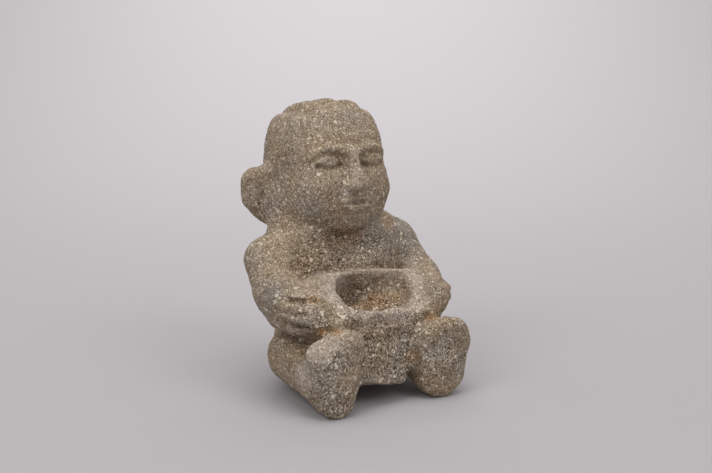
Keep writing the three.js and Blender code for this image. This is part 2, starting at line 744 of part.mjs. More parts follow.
const andesite = new THREE.MeshStandardMaterial({ color: 0x8b8071, roughness: 0.95, metalness: 0 });
const figure = new THREE.Mesh(figureGeometry, andesite);
figure.name = 'stone_figure';

const group = new THREE.Group();
group.add(figure);

export default group;
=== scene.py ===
import math

import bpy
import numpy as np
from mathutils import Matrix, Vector


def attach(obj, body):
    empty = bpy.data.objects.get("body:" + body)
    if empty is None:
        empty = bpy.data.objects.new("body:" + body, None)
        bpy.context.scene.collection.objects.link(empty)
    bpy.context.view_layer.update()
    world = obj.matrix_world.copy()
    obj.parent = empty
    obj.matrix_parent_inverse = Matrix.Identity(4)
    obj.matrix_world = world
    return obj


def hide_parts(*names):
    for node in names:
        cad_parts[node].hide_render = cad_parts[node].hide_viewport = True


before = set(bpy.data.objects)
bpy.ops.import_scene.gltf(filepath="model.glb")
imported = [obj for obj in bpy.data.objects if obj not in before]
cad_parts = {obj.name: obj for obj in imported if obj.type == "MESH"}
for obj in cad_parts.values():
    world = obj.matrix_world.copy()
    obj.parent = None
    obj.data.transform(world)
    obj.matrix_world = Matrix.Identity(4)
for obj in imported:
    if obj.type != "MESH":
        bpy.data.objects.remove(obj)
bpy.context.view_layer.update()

# Camera
# It looks slightly down on the figure from its right front, as in the photograph, through a
# 50 mm lens. Places are in millimetres in the figure's own frame, turned to metres where used.
MM = 0.001
CAMERA_PLACE = (-259.9, -450.4, 177.8)
CAMERA_TURN = -30.89
CAMERA_DOWN = 10.59
CAMERA_LENS = 50.0

camera_data = bpy.data.cameras.new("camera")
camera_data.lens = CAMERA_LENS
camera_data.sensor_width = 36.0
camera_data.clip_start = 0.01
camera_data.clip_end = 100.0
camera = bpy.data.objects.new("camera", camera_data)
camera.location = [v * MM for v in CAMERA_PLACE]
camera.rotation_euler = (math.radians(90 - CAMERA_DOWN), 0, math.radians(CAMERA_TURN))
bpy.context.collection.objects.link(camera)
bpy.context.scene.camera = camera

# Backdrop
# A roll of pale grey paper lies under the figure and bends up behind it, square to the camera.
PAPER_HALF_WIDTH = 4.0
PAPER_FRONT = -2.5
PAPER_BEND = 0.45
PAPER_RADIUS = 1.2
PAPER_TOP = 3.5
PAPER_BEND_STEPS = 32
PAPER_COLOUR = (0.425, 0.408, 0.418, 1)
PAPER_ROUGHNESS = 0.95
PAPER_SPECULAR = 0.2

run = [(PAPER_FRONT, 0), (PAPER_BEND, 0)]
for step in range(1, PAPER_BEND_STEPS + 1):
    bend = math.radians(90) * step / PAPER_BEND_STEPS
    run.append((PAPER_BEND + PAPER_RADIUS * math.sin(bend), PAPER_RADIUS * (1 - math.cos(bend))))
run.append((PAPER_BEND + PAPER_RADIUS, PAPER_TOP))
paper_mesh = bpy.data.meshes.new("paper")
paper_mesh.from_pydata(
    [(side * PAPER_HALF_WIDTH, back, up) for back, up in run for side in (-1, 1)],
    [],
    [(2 * n, 2 * n + 1, 2 * n + 3, 2 * n + 2) for n in range(len(run) - 1)],
)
paper_mesh.polygons.foreach_set("use_smooth", [True] * len(paper_mesh.polygons))
backdrop = bpy.data.objects.new("backdrop", paper_mesh)
backdrop.rotation_euler = (0, 0, math.radians(CAMERA_TURN))
bpy.context.collection.objects.link(backdrop)
paper = bpy.data.materials.new("pale_paper")
paper.use_nodes = True
paper_shader = paper.node_tree.nodes["Principled BSDF"]
paper_shader.inputs["Base Color"].default_value = PAPER_COLOUR
paper_shader.inputs["Roughness"].default_value = PAPER_ROUGHNESS
paper_shader.inputs["Specular IOR Level"].default_value = PAPER_SPECULAR
paper_mesh.materials.append(paper)

# Light
# Two large soft boxes stand in front, left and right of the camera, and a third hangs overhead.
# A fourth shines on the paper behind the figure, and the room around is pale and evenly lit.
SOFT_BOXES = (
    {"name": "left_box", "place": (-0.95, -0.25, 0.95), "aim": (0, 0, 0.08), "size": 0.7, "watts": 4.2},
    {"name": "right_box", "place": (0.3, -0.9, 0.95), "aim": (0, 0, 0.08), "size": 0.7, "watts": 3.4},
    {"name": "top_box", "place": (-0.1, -0.1, 1.4), "aim": (0, 0, 0.08), "size": 0.9, "watts": 7.2},
    {"name": "back_box", "place": (0.4, 0.67, 1.1), "aim": (0.9, 1.5, 0), "size": 1.0, "watts": 10.4},
)
ROOM_COLOUR = (1.0, 0.98, 0.99, 1)
ROOM_STRENGTH = 0.52

for box in SOFT_BOXES:
    lamp_data = bpy.data.lights.new(box["name"], "AREA")
    lamp_data.shape = "DISK"
    lamp_data.size = box["size"]
    lamp_data.energy = box["watts"]
    lamp = bpy.data.objects.new(box["name"], lamp_data)
    lamp.location = box["place"]
    lamp.rotation_euler = (Vector(box["aim"]) - Vector(box["place"])).to_track_quat("-Z", "Y").to_euler()
    bpy.context.collection.objects.link(lamp)

room = bpy.data.worlds.new("pale_room")
room.use_nodes = True
room.node_tree.nodes["Background"].inputs["Color"].default_value = ROOM_COLOUR
room.node_tree.nodes["Background"].inputs["Strength"].default_value = ROOM_STRENGTH
bpy.context.scene.world = room
bpy.context.scene.view_settings.view_transform = "Standard"

# The carved figure
# One piece of andesite, pecked and ground to shape: a seated figure that holds a bowl. Its form
# is a distance field, less than 0 inside the stone, built up from the parts of the body. Sizes
# are in millimetres before the figure is moved over the origin: X outward to its left, Y back
# from the soles and Z up from the floor. The last number given to join or keep is the fillet.
HEIGHT = 151.7
HEAD_HALF = (28.8, 33, 35.7)
HEAD_MIDDLE = (0.4, 69.5, HEIGHT - HEAD_HALF[2])
TRUNK_LOW = (0, 46, 26)
TRUNK_HIGH = (0, 59.5, 74)
TRUNK_RADIUS = 21.5
SHOULDER = (40.6, 57.5, 71)
ELBOW = (42, 37.5, 55.5)
WRIST = (38.6, 20, 51)
BOWL_MOUTH = (1, 16, 58.3)
BOWL_HALF = (21.2, 11.8, 13)
BOWL_TILT = math.radians(48)
HIP = (29, 47, 20.5)
ANKLE = (31, 9.5, 18.4)
SEAT = {"middle": (0, 60, 20), "half": (31, 24, 20.8), "square": 2.6}
MOVED_OVER_ORIGIN = (0.65, -49.32, 0)


def ramp(value, low, high):
    """0 below low, 1 above high and a smooth step between."""
    t = np.clip((value - low) / (high - low), 0, 1)
    return t * t * (3 - 2 * t)


def join(a, b, fillet):
    """Two forms joined with a fillet."""
    near = np.maximum(fillet - np.abs(a - b), 0) / fillet
    return np.minimum(a, b) - near * near * fillet * 0.25


def keep(a, b, ease):
    """What two forms have in common, with the edge eased."""
    return -join(-a, -b, ease)


def swelling(x, y, z, middle, half, square=2):
    """A rounded form: an ellipsoid where square is 2, a box where it is large."""
    u, v, w = (np.abs(p - m) / h + 1e-6 for p, m, h in zip((x, y, z), middle, half))
    reach = (u**square + v**square + w**square) ** (1 / square)
    steep = np.sqrt(sum((p ** (square - 1) / h) ** 2 for p, h in zip((u, v, w), half)))
    return (reach - 1) * reach ** (square - 1) / steep


def block(x, y, z, middle, half, edge):
    """A block with rounded edges."""
    u, v, w = (np.abs(p - m) - h + edge for p, m, h in zip((x, y, z), middle, half))
    outside = np.sqrt(np.maximum(u, 0) ** 2 + np.maximum(v, 0) ** 2 + np.maximum(w, 0) ** 2)
    return outside + np.minimum(np.maximum(np.maximum(u, v), w), 0) - edge


def limb(x, y, z, start, end, radii):
    """A limb from start to end, with a radius at each end."""
    d = [b - a for a, b in zip(start, end)]
    apart = [p - a for p, a in zip((x, y, z), start)]
    t = np.clip(sum(p * q for p, q in zip(apart, d)) / sum(q * q for q in d), 0, 1)
    away = np.sqrt(sum((p - q * t) ** 2 for p, q in zip(apart, d)))
    return away - radii[0] - (radii[1] - radii[0]) * t


def stroke(u, v, points):
    """Distance in a plane to a line drawn through the points."""
    least = np.full_like(u, np.inf)
    for (au, av), (bu, bv) in zip(points, points[1:]):
        du, dv = bu - au, bv - av
        t = np.clip(((u - au) * du + (v - av) * dv) / (du * du + dv * dv), 0, 1)
        least = np.minimum(least, (u - au - du * t) ** 2 + (v - av - dv * t) ** 2)
    return np.sqrt(least)


def outline(u, v, points):
    """Distance in a plane to an outline of straight sides, less than 0 inside it."""
    inside = np.zeros(u.shape, bool)
    for (au, av), (bu, bv) in zip(points, points[1:] + points[:1]):
        crosses = (av > v) != (bv > v)
        slant = (bu - au) / (bv - av) if bv != av else 0
        inside ^= crosses & (u < slant * (v - av) + au)
    return np.where(inside, -1, 1) * stroke(u, v, points + points[:1])


def slab(away, across, half_thickness, edge):
    """A flat slab with rounded edges, from the distances to its outline and its middle plane."""
    u, v = away + edge, np.abs(across) - half_thickness + edge
    return np.minimum(np.maximum(u, v), 0) + np.hypot(np.maximum(u, 0), np.maximum(v, 0)) - edge


def ridge(away, width):
    """The rounded profile of a ridge or a groove, 1 on its line."""
    return np.exp(-((away / width) ** 2))


def mound(x, y, z, middle, width):
    """A soft mound or hollow round a point, 1 at its middle."""
    return np.exp(-sum((p - m) ** 2 for p, m in zip((x, y, z), middle)) / width**2)


# the head: a tall rounded skull that leans a little to the figure's left, and a broad jaw, all
# tipped back a little
HEAD_TILT = math.radians(6)
SKULL_SQUARE = 2.6
SKULL_TAPER = 0.0004
SKULL_LEAN = 0.022
JAW = {"middle": (0, -6.5, -18), "half": (27, 24.5, 15.5), "square": 2.5}


def tipped(y, z):
    """Places in the head as it was before it was tipped back."""
    back, up = y - HEAD_MIDDLE[1], z - HEAD_MIDDLE[2]
    cos, sin = math.cos(HEAD_TILT), math.sin(HEAD_TILT)
    return HEAD_MIDDLE[1] + back * cos - up * sin, HEAD_MIDDLE[2] + back * sin + up * cos


def skull(x, y, z):
    back, up = y - HEAD_MIDDLE[1], z - HEAD_MIDDLE[2]
    aside = (x - HEAD_MIDDLE[0] - SKULL_LEAN * up) / (1 - SKULL_TAPER * up)
    dome = swelling(aside, back, up, (0, 0, 0), HEAD_HALF, SKULL_SQUARE)
    return join(dome, swelling(x, back, up, **JAW), 10)


# the hair: five rolls run back over the crown and down to the nape, parted by four furrows, each
# at its place across and of its depth, which draw together away from the top of the head
CROWN = {"back": (42, 58), "up": (112, 134)}
NAPE = {"back": (74, 90), "up": (98, 108)}
FURROWS = ((-16.2, 2.6), (-4.8, 2.6), (7.2, 2.8), (18.2, 2.4))
FURROW_WIDTH = 2.3
FURROWS_WIDEST = HEAD_MIDDLE[1] + 2.5
DRAWN_TOGETHER = {"by": 0.16, "over": 30}
ROLL_SWELL = 0.9
LOBES = (((21, 58, 146), 0.8, 9), ((-14, 88, 141), 2.4, 9))


def hair(x, y, z):
    crown = ramp(y, *CROWN["back"]) * ramp(z, *CROWN["up"])
    nape = ramp(y, *NAPE["back"]) * ramp(z, *NAPE["up"])
    spread = 1 - DRAWN_TOGETHER["by"] * ((y - FURROWS_WIDEST) / DRAWN_TOGETHER["over"]) ** 2
    relief = sum(deep * ridge(x - at * spread, FURROW_WIDTH) for at, deep in FURROWS)
    lobes = sum(high * mound(x, y, z, middle, width) for middle, high, width in LOBES)
    return (relief - ROLL_SWELL) * np.maximum(crown, nape) - lobes


# the face: calm, with closed eyes at half the head's height, the end of the nose halfway from
# brow to chin and the mouth a third of the way from nose to chin
EYE_LEVEL = HEAD_MIDDLE[2] + 2.5
FACE_PLANE = HEAD_MIDDLE[1] - HEAD_HALF[1]
FACE_ENDS = (52, 62)
EYE_OUT = 12.5
SOCKET = {"middle": (EYE_OUT, -2.2, 0.3), "half": (9.4, 6.4, 5.8)}
EYEBALL = {"middle": (EYE_OUT, 6.5, 0), "half": (7.6, 5.5, 4.5)}
CHEEK = {"middle": (14, 9.5, -12.5), "half": (10, 8.2, 9)}
MUZZLE = {"middle": (0, 6.9, -21.5), "half": (11.5, 6.9, 7.5)}
NOSE = {"start": (0, 0.4, 5), "end": (0, -3.2, -11.1), "radii": (2.4, 3.9)}
NOSTRIL = {"middle": (4.3, -0.1, -12.1), "half": (3.3, 4, 2.9)}
CHIN = {"middle": (0, 10.1, -29.9), "half": (10, 7.6, 6)}
BROW = (1.5, 2.2, [(2.5, 5.3), (8, 7.4), (13, 7.8), (18, 6.4), (21.5, 3.5)])
LID = (0.9, 1, [(5, -0.9), (8.2, 2.2), (12.4, 3.4), (16.6, 2.2), (20, -0.7)])
LASHES = (-1.4, 0.9, [(5.8, -1.2), (9, -2.3), (12.6, -2.7), (16, -2.3), (19.2, -1)])
UPPER_LIP = (1.2, 1.7, [(0, -19.5), (2.5, -18.9), (5.6, -19.7), (8.4, -20.9)])
LOWER_LIP = (1.4, 2, [(0, -23.8), (3.6, -23.5), (6.8, -22.3)])
LIPS_MEET = (-1.6, 1, [(0, -21.4), (4.6, -21.2), (9.2, -21.5)])


def raised(out, up, lines):
    """The height of ridges and grooves, each with its height, its width and its line."""
    return sum(height * ridge(stroke(out, up, line), width) for height, width, line in lines)


def face(x, y, z, head):
    out, back, up = np.abs(x), y - FACE_PLANE, z - EYE_LEVEL
    front = 1 - ramp(y, *FACE_ENDS)
    nose = join(limb(x, back, up, **NOSE), swelling(out, back, up, **NOSTRIL), 2.5)
    form = keep(head, -swelling(out, back, up, **SOCKET), 4)
    form = join(form, swelling(out, back, up, **EYEBALL), 1)
    form = form - raised(out, up, (BROW, LID, LASHES)) * front
    form = join(form, swelling(out, back, up, **CHEEK), 8)
    form = join(form, swelling(x, back, up, **MUZZLE), 6)
    form = join(form, nose, 3)
    form = form - raised(out, up, (UPPER_LIP, LOWER_LIP, LIPS_MEET)) * front
    return join(form, swelling(x, back, up, **CHIN), 5)


# the ears: thick plain lobes, broad above and drawn in to the jaw below
EAR_CORNERS = [(33.2, 108), (33.2, 101), (27, 94.8), (22, 109.5)]
EAR_ROUNDING = 9.4
EAR_HALF_THICKNESS = 5.6
EAR_EDGE = 4.6
EAR_BACK = HEAD_MIDDLE[1] + 10
EAR_OUTWARD_TURN = 0.25
EAR_TURN_AT = 30


def ears(x, y, z):
    out = np.abs(x)
    across = y - EAR_BACK - EAR_OUTWARD_TURN * (out - EAR_TURN_AT)
    return slab(outline(out, z, EAR_CORNERS) - EAR_ROUNDING, across, EAR_HALF_THICKNESS, EAR_EDGE)


# the trunk: an oval column that leans back and widens upward, a thick neck and sloping
# shoulders, the right one, at -X, carved lower than the left
TRUNK_BREADTH = (1.4545, 1.7273)
NECK_BREADTH = 1.45
NECK = {"start": (-0.4, 63, 78), "end": (-0.4, 70.8, 97), "radii": (22.3, 22.3)}
YOKE = {"start": (14, 64, 88), "end": (37, 58.5, 76), "radii": (8, 11.2)}
RIGHT_DROP = 6
LEFT_DROP = 0.8
THROAT = {"middle": (0, 31, 81), "half": (30, 14.5, 9.5)}


def trunk(x, y, z, left):
    rise, lean = TRUNK_HIGH[2] - TRUNK_LOW[2], TRUNK_HIGH[1] - TRUNK_LOW[1]
    back, up = y - TRUNK_LOW[1], z - TRUNK_LOW[2]
    t = np.clip((back * lean + up * rise) / (lean**2 + rise**2), 0, 1)
    breadth = TRUNK_BREADTH[0] + (TRUNK_BREADTH[1] - TRUNK_BREADTH[0]) * t
    column = np.sqrt((x / breadth) ** 2 + (back - lean * t) ** 2 + (up - rise * t) ** 2)
    neck = limb(x / NECK_BREADTH, y, z, **NECK)
    drop = RIGHT_DROP + (LEFT_DROP - RIGHT_DROP) * left
    form = join(join(column - TRUNK_RADIUS, neck, 8), limb(np.abs(x), y, z + drop, **YOKE), 6)
    return keep(form, -swelling(x, y, z, **THROAT), 6)


# the arms: bent, the forearms level along the bowl's sides, and hands whose four fingers lie
# stacked there, parted by three grooves, each with its height above the floor, depth and width
UPPER_ARM = {"start": SHOULDER, "end": ELBOW, "radii": (11.8, 10.2)}
FOREARM = {"start": ELBOW, "end": WRIST, "radii": (10.2, 9.2)}
HAND_TALLER = 1.2
HAND = {"start": (37, 27, 50 / HAND_TALLER), "end": (35.5, 13.5, 49 / HAND_TALLER), "radii": (8, 7)}
PALM = {"start": (33.5, 30, 42.5), "end": (32, 13.5, 42.5), "radii": (6.5, 5.5)}
LEFT_PALM_INWARD = 1.6
LEFT_PALM_UP = 0.8
LEFT_GROOVES_SHALLOWER = 0.5
FINGERS = {"front": (8.5, 12.5), "back": (22, 28), "out": (33, 38)}
FINGER_GROOVES = ((57.4, 1.8, 1.2), (51.4, 1.6, 1.2), (45, 2.4, 1.4))
GROOVE_SLOPE = 0.03
GROOVE_TURNS_AT = 18
RIGHT_ELBOW = {"middle": (-51, 47, 55), "width": 12}
RIGHT_ELBOW_SWELL = 2.3
LEFT_WRIST = {"middle": (48, 19, 50), "width": 7}
LEFT_WRIST_SWELL = 1.8
HEEL_OF_HAND = {"start": (-43, 37.5, 44.2), "end": (-37.5, 20, 41.5), "radii": (5.8, 5.5)}
UNDER_HAND = {"middle": (-38, 17, 35.5), "width": 7}
UNDER_HAND_DEPTH = 4


def arms(x, y, z, left):
    out = np.abs(x)
    hand = limb(out, y, z / HAND_TALLER, **HAND)
    palm = limb(out + LEFT_PALM_INWARD * left, y, z - LEFT_PALM_UP * left, **PALM)
    form = join(limb(out, y, z, **UPPER_ARM), limb(out, y, z, **FOREARM), 6)
    form = join(form, join(hand, palm, 5), 6)
    form = join(form, limb(x, y, z, **HEEL_OF_HAND), 4)
    over_fingers = ramp(y, *FINGERS["front"]) * (1 - ramp(y, *FINGERS["back"]))
    depth = over_fingers * ramp(out, *FINGERS["out"]) * (1 - LEFT_GROOVES_SHALLOWER * left)
    for at, deep, width in FINGER_GROOVES:
        form = form + deep * ridge(z - at + GROOVE_SLOPE * (y - GROOVE_TURNS_AT), width) * depth
    form = form - RIGHT_ELBOW_SWELL * mound(x, y, z, **RIGHT_ELBOW)
    return form - LEFT_WRIST_SWELL * mound(x, y, z, **LEFT_WRIST)


# the bowl: a thick block between the hands with a tilted mouth and a rounded hollow that is
# scooped deeper at its right and has a softer edge at its back, a rim behind it that falls away
# towards the arms, more to its left, and an undercut below its front. RIM_SLOPE_TRUE scales the
# sloping rim's heights to distances.
BOWL_BLOCK = {"middle": (0, 25.2, 52), "half": (38, 20, 19.5), "edge": 9}
RIM_HEIGHT = 68
RIM_BACK = 24.5
RIM_SLOPE = 0.3
RIM_LEVEL_TO = 18
RIM_FALL = 0.01
RIM_LEFT_LOWER = 0.1
RIM_EDGE = 1.6
RIM_SLOPE_TRUE = 0.95
HOLLOW_SQUARE = 2.6
SCOOP = {"middle": (-8, 4.5, -8), "half": (10.5, 6.5, 11)}
HOLLOW_EDGE = {"front": 1.5, "back": 5, "between": (14, 20)}
UNDERCUT = {"middle": -3, "up": 43.5, "deep": 2.2, "width": 3.4}
UNDERCUT_ENDS = {"across": (16, 20), "back": (10, 14)}


def from_mouth(y, z):
    """How far a point is up the slope of the mouth, and how far it stands out of it."""
    back, up = y - BOWL_MOUTH[1], z - BOWL_MOUTH[2]
    cos, sin = math.cos(BOWL_TILT), math.sin(BOWL_TILT)
    return back * cos + up * sin, up * cos - back * sin


def bowl(x, y, z):
    fall = RIM_FALL * np.maximum(np.abs(x) - RIM_LEVEL_TO, 0) ** 2 + RIM_LEFT_LOWER * np.maximum(x, 0)
    rim = (z - RIM_HEIGHT + RIM_SLOPE * (y - RIM_BACK)) * RIM_SLOPE_TRUE + fall
    below_mouth = keep(block(x, y, z, **BOWL_BLOCK), from_mouth(y, z)[1], RIM_EDGE)
    return keep(below_mouth, rim, RIM_EDGE)


def hollow(x, y, z):
    up_slope, proud = from_mouth(y, z)
    basin = swelling(x, up_slope, proud, (BOWL_MOUTH[0], 0, 0), BOWL_HALF, HOLLOW_SQUARE)
    return join(basin, swelling(x, up_slope, proud, **SCOOP), 1.5)


def hollow_edge(y):
    """How softly the hollow's edge is rounded, from its front to its back."""
    back = ramp(y, *HOLLOW_EDGE["between"])
    return HOLLOW_EDGE["front"] + (HOLLOW_EDGE["back"] - HOLLOW_EDGE["front"]) * back


def undercut(x, y, z):
    across = 1 - ramp(np.abs(x - UNDERCUT["middle"]), *UNDERCUT_ENDS["across"])
    front = 1 - ramp(y, *UNDERCUT_ENDS["back"])
    return UNDERCUT["deep"] * ridge(z - UNDERCUT["up"], UNDERCUT["width"]) * across * front


# the lap: thick legs stretched forward, the left one higher at the hip, and the plain block
# between the shins that carries the bowl, slants, widens upward and ends above the floor
LEG = {"start": ANKLE, "end": HIP, "radii": (14.4, 15.5)}
LEFT_LEG_RISE = {"by": 3, "from": 8, "over": 20}
LAP_BLOCK = {"middle": (-4.7, 24, 30), "half": (17.5, 20.6, 19.4), "edge": 3}
LAP_BLOCK_SLANT = 0.14
LAP_BLOCK_LEAN = {"by": 0.09, "from": 12}
LAP_BLOCK_WIDER = ({"by": 4, "up": (12, 19)}, {"by": 6, "up": (21, 27)})
LAP_BLOCK_STRETCH = (-8, 14)


def legs(x, y, z, left):
    back = np.clip((y - LEFT_LEG_RISE["from"]) / LEFT_LEG_RISE["over"], 0, 1)
    return limb(np.abs(x), y, z - LEFT_LEG_RISE["by"] * left * back, **LEG)


def lap_block(x, y, z):
    wider = sum(step["by"] * ramp(z, *step["up"]) for step in LAP_BLOCK_WIDER)
    across = x - wider * ramp(x, *LAP_BLOCK_STRETCH)
    back = y - LAP_BLOCK_LEAN["by"] * (z - LAP_BLOCK_LEAN["from"])
    return block(across, back, z + LAP_BLOCK_SLANT * x, **LAP_BLOCK)


# the feet: upright rounded soles, broad and thinner at the toes and drawn in to the heel, the
# right one bevelled over its toes
RIGHT_SOLE = ([(36.6, 34.6), (24.5, 35), (30.2, 8.8)], 9.4)
LEFT_SOLE = ([(35.6, 28.8), (30, 28.6), (33, 13.4)], 13.9)
SOLE_HALF_THICKNESS = 8.2
TOE_THINNING = {"by": 3.2, "up": (16, 42)}
SOLE_EDGE = 4.2
SOLE_FRONT = -2.9
SOLE_LEAN = {"by": 0.045, "from": 10}
SOLE_HOLLOW = {"by": 0.004, "middle": 32}
RIGHT_BEVEL = {"faces": (0.428, -0.656, 0.622), "away": 38.2}


def foot(out, y, z, sole):
    corners, rounding = sole
    half_thickness = SOLE_HALF_THICKNESS - TOE_THINNING["by"] * ramp(z, *TOE_THINNING["up"])
    front = SOLE_FRONT - SOLE_LEAN["by"] * (z - SOLE_LEAN["from"])
    front = front + SOLE_HOLLOW["by"] * (out - SOLE_HOLLOW["middle"]) ** 2
    return slab(outline(out, z, corners) - rounding, y - front - half_thickness, half_thickness, SOLE_EDGE)


def bevel(out, y, z, faces, away):
    """The plane that cuts off the top of the right foot's toes."""
    return sum(p * n for p, n in zip((out, y, z), faces)) - away


# the spine: a shallow furrow down the back
SPINE = {"deep": 1.2, "width": 2.6}
SPINE_ENDS = {"low": (30, 42), "high": (76, 84), "front": (62, 70)}


def spine(x, y, z):
    along = ramp(z, *SPINE_ENDS["low"]) * (1 - ramp(z, *SPINE_ENDS["high"]))
    return SPINE["deep"] * ridge(x, SPINE["width"]) * along * ramp(y, *SPINE_ENDS["front"])


# the whole figure, where left goes from 0 in its right half to 1 in its left half
RIGHT_TO_LEFT = (-6, 6)


def stone(x, y, z):
    left = ramp(x, *RIGHT_TO_LEFT)
    seat = swelling(x, y, z, **SEAT)
    level = tipped(y, z)
    head = join(face(x, *level, skull(x, *level) + hair(x, *level)), ears(x, y, z), 5)
    lap = join(join(legs(x, y, z, left), seat, 10), lap_block(x, y, z), 5)
    form = join(join(trunk(x, y, z, left), seat, 14), head, 2.5)
    form = join(form, arms(x, y, z, left), 4)
    form = join(join(form, bowl(x, y, z), 2.5), lap, 3) + undercut(x, y, z)
    form = form + UNDER_HAND_DEPTH * mound(x, y, z, **UNDER_HAND)
    right_foot = keep(foot(-x, y, z, RIGHT_SOLE), bevel(-x, y, z, **RIGHT_BEVEL), 1.5)
    form = join(form, right_foot, 3)
    form = join(form, foot(x, y, z, LEFT_SOLE), 3)
    return keep(form, -hollow(x, y, z), hollow_edge(y)) + spine(x, y, z)


# The surface is sampled on a fine grid, but worked out only near the stone's skin. A few steps
# down the field's slope then bring the points onto it.
GRID_LOW = np.array([-57.0, -9.0, -5.0])
GRID_CELLS = (32, 33, 44)
COARSE_STEP = 3.6
FINER = 4
SKIN = 4.2
AT_ONCE = 60000
FILL_ROUNDS = 4
JUST_INSIDE = -0.01
SLOPE_STEP = 0.05
LEAST_RISE = 0.1
DESCENTS = 2


def measured(points):
    """The field at many points, a part of them at a time to save memory."""
    parts = np.array_split(points, len(points) // AT_ONCE + 1)
    return np.concatenate([stone(*part.T) for part in parts])


def grid_points(step, counts):
    axes = [low + step * np.arange(n) for low, n in zip(GRID_LOW, counts)]
    return np.stack(np.meshgrid(*axes, indexing="ij"), -1).reshape(-1, 3)


def between(values, factor):
    """Values on a grid, filled in evenly on one that is finer by the factor."""
    for axis in range(3):
        along = np.moveaxis(values, axis, 0)
        at = np.arange((len(along) - 1) * factor + 1) / factor
        low = np.minimum(at.astype(int), len(along) - 2)
        part = (at - low).reshape(-1, 1, 1)
        values = np.moveaxis(along[low] * (1 - part) + along[low + 1] * part, 0, axis)
    return values


coarse_counts = [n + 1 for n in GRID_CELLS]
coarse = measured(grid_points(COARSE_STEP, coarse_counts)).reshape(coarse_counts)
values = between(coarse, FINER)
step = COARSE_STEP / FINER
near_skin = np.abs(values.ravel()) < SKIN
fine_values = values.ravel().copy()
fine_values[near_skin] = measured(grid_points(step, values.shape)[near_skin])
strides = [values.shape[1] * values.shape[2], values.shape[2], 1]

# where stone would meet stone only along an edge of the grid, a corner beside it is filled
for _ in range(FILL_ROUNDS):
    for axis in range(3):
        u, v = strides[(axis + 1) % 3], strides[(axis + 2) % 3]
        cell = np.flatnonzero(near_skin)
        cell = cell[cell + u + v < len(fine_values)]
        inside = fine_values < 0
        crossed = inside[cell] != inside[cell + u]
        crossed &= (inside[cell] == inside[cell + u + v]) & (inside[cell + u] == inside[cell + v])
        for c in cell[crossed]:
            empty = (c + u, c + v) if inside[c] else (c, c + u + v)
            fine_values[min(empty, key=lambda n: fine_values[n])] = JUST_INSIDE

# one point in each grid cell that the surface crosses, at the mean of its crossings
inside = (fine_values < 0).reshape(values.shape)
filled = np.zeros(values.shape, np.uint8)
for corner in np.ndindex(2, 2, 2):
    filled[:-1, :-1, :-1] += inside[tuple(slice(c, n - 1 + c) for c, n in zip(corner, inside.shape))]
cells = np.flatnonzero((filled.ravel() > 0) & (filled.ravel() < 8))
total = np.zeros((len(cells), 3))
crossings = np.zeros(len(cells))
for axis in range(3):
    u, v = (axis + 1) % 3, (axis + 2) % 3
    for on_u, on_v in np.ndindex(2, 2):
        start = cells + on_u * strides[u] + on_v * strides[v]
        a, b = fine_values[start], fine_values[start + strides[axis]]
        crosses = (a < 0) != (b < 0)
        total[:, axis] += np.where(crosses, a / np.where(crosses, a - b, 1), 0)
        total[:, u] += crosses * on_u
        total[:, v] += crosses * on_v
        crossings += crosses
places = np.stack(np.unravel_index(cells, values.shape), -1)
points = GRID_LOW + (places + total / crossings[:, None]) * step

# a square of four such points round each grid edge that the surface crosses
number = np.full(len(fine_values), -1)
number[cells] = np.arange(len(cells))
inside = inside.ravel()
squares = []
for axis in range(3):
    u, v = strides[(axis + 1) % 3], strides[(axis + 2) % 3]
    for goes_in in (False, True):
        edge = cells[(inside[cells] == (not goes_in)) & (inside[cells + strides[axis]] == goes_in)]
        ring = [edge, edge - u, edge - u - v, edge - v]
        squares.append(np.stack([number[n] for n in (ring[::-1] if goes_in else ring)], -1))
squares = np.concatenate(squares)


def slope(points):
    """The field at the points and the direction in which it rises, by small differences."""
    here = measured(points)
    ahead = [measured(points + SLOPE_STEP * np.eye(3)[axis]) for axis in range(3)]
    return here, np.stack([(value - here) / SLOPE_STEP for value in ahead], -1)


for _ in range(DESCENTS):
    here, rises = slope(points)
    points = points - rises * (here / np.maximum((rises**2).sum(1), LEAST_RISE))[:, None]
_, rises = slope(points)
outward = rises / np.linalg.norm(rises, axis=1)[:, None]

# How sheltered or exposed each point is: in a hollow, the field rises less than the way gone out
# from the surface, and on a ridge it sinks less than the way gone in.
SHELTER_REACH = 7.0
EXPOSED_REACH = 5.0
sheltered = 1 - measured(points + outward * SHELTER_REACH) / SHELTER_REACH
exposed = 1 + measured(points - outward * EXPOSED_REACH) / EXPOSED_REACH

# Where the stone is stained, browned by earth and by painted shade, greyer, paled by wear and by
# painted light, or coarser than elsewhere: each a place, how far it reaches and how strong it is in
# its middle.
RUST = (
    ((-37, 14, 58), 5, 0.6),  # the right hand
    ((-36, 7, 43), 4, 0.7),  # between the right hand and foot
    ((-30, 3, 43), 4, 0.6),
    ((-40, 23, 30), 6, 0.25),  # the right thigh
    ((-5, 25, 48), 9, 0.35),  # the front of the bowl's floor
    ((7, 24, 49), 9, 0.4),
    ((15, 22, 51), 6, 0.3),
    ((15, 3.5, 24), 6, 0.5),  # between the lap block and the left foot
    ((28, 4, 42), 6, 0.5),  # between the left hand and foot
    ((29, 49, 86), 7, 0.4),  # the left shoulder
    ((-8, 37, 124), 5, 0.35),  # the right brow
    ((-27, 43, 68), 9, 0.2),  # the right side of the chest
)
EARTH_AND_SHADE_SPOTS = (
    ((-7, 28, 63), 6, 0.45),  # the bowl's back wall, a brown stain and painted shade
    ((1, 29.5, 58), 5, 0.5),
    ((6, 23, 49), 13, 0.6),
    ((-10, 41, 76), 18, 0.4),  # the chest
    ((-21, 6, 44), 4, 0.8),  # painted shade under the bowl's rim
    ((-8, 7, 40), 8, 0.6),
    ((6, 6, 40), 8, 0.6),
    ((-44, 25, 22), 3, 0.7),  # a nick in the right thigh
    ((-4, 43.5, 84), 9, 0.55),  # painted shadow under the chin
    ((5, 45, 82), 9, 0.5),
)
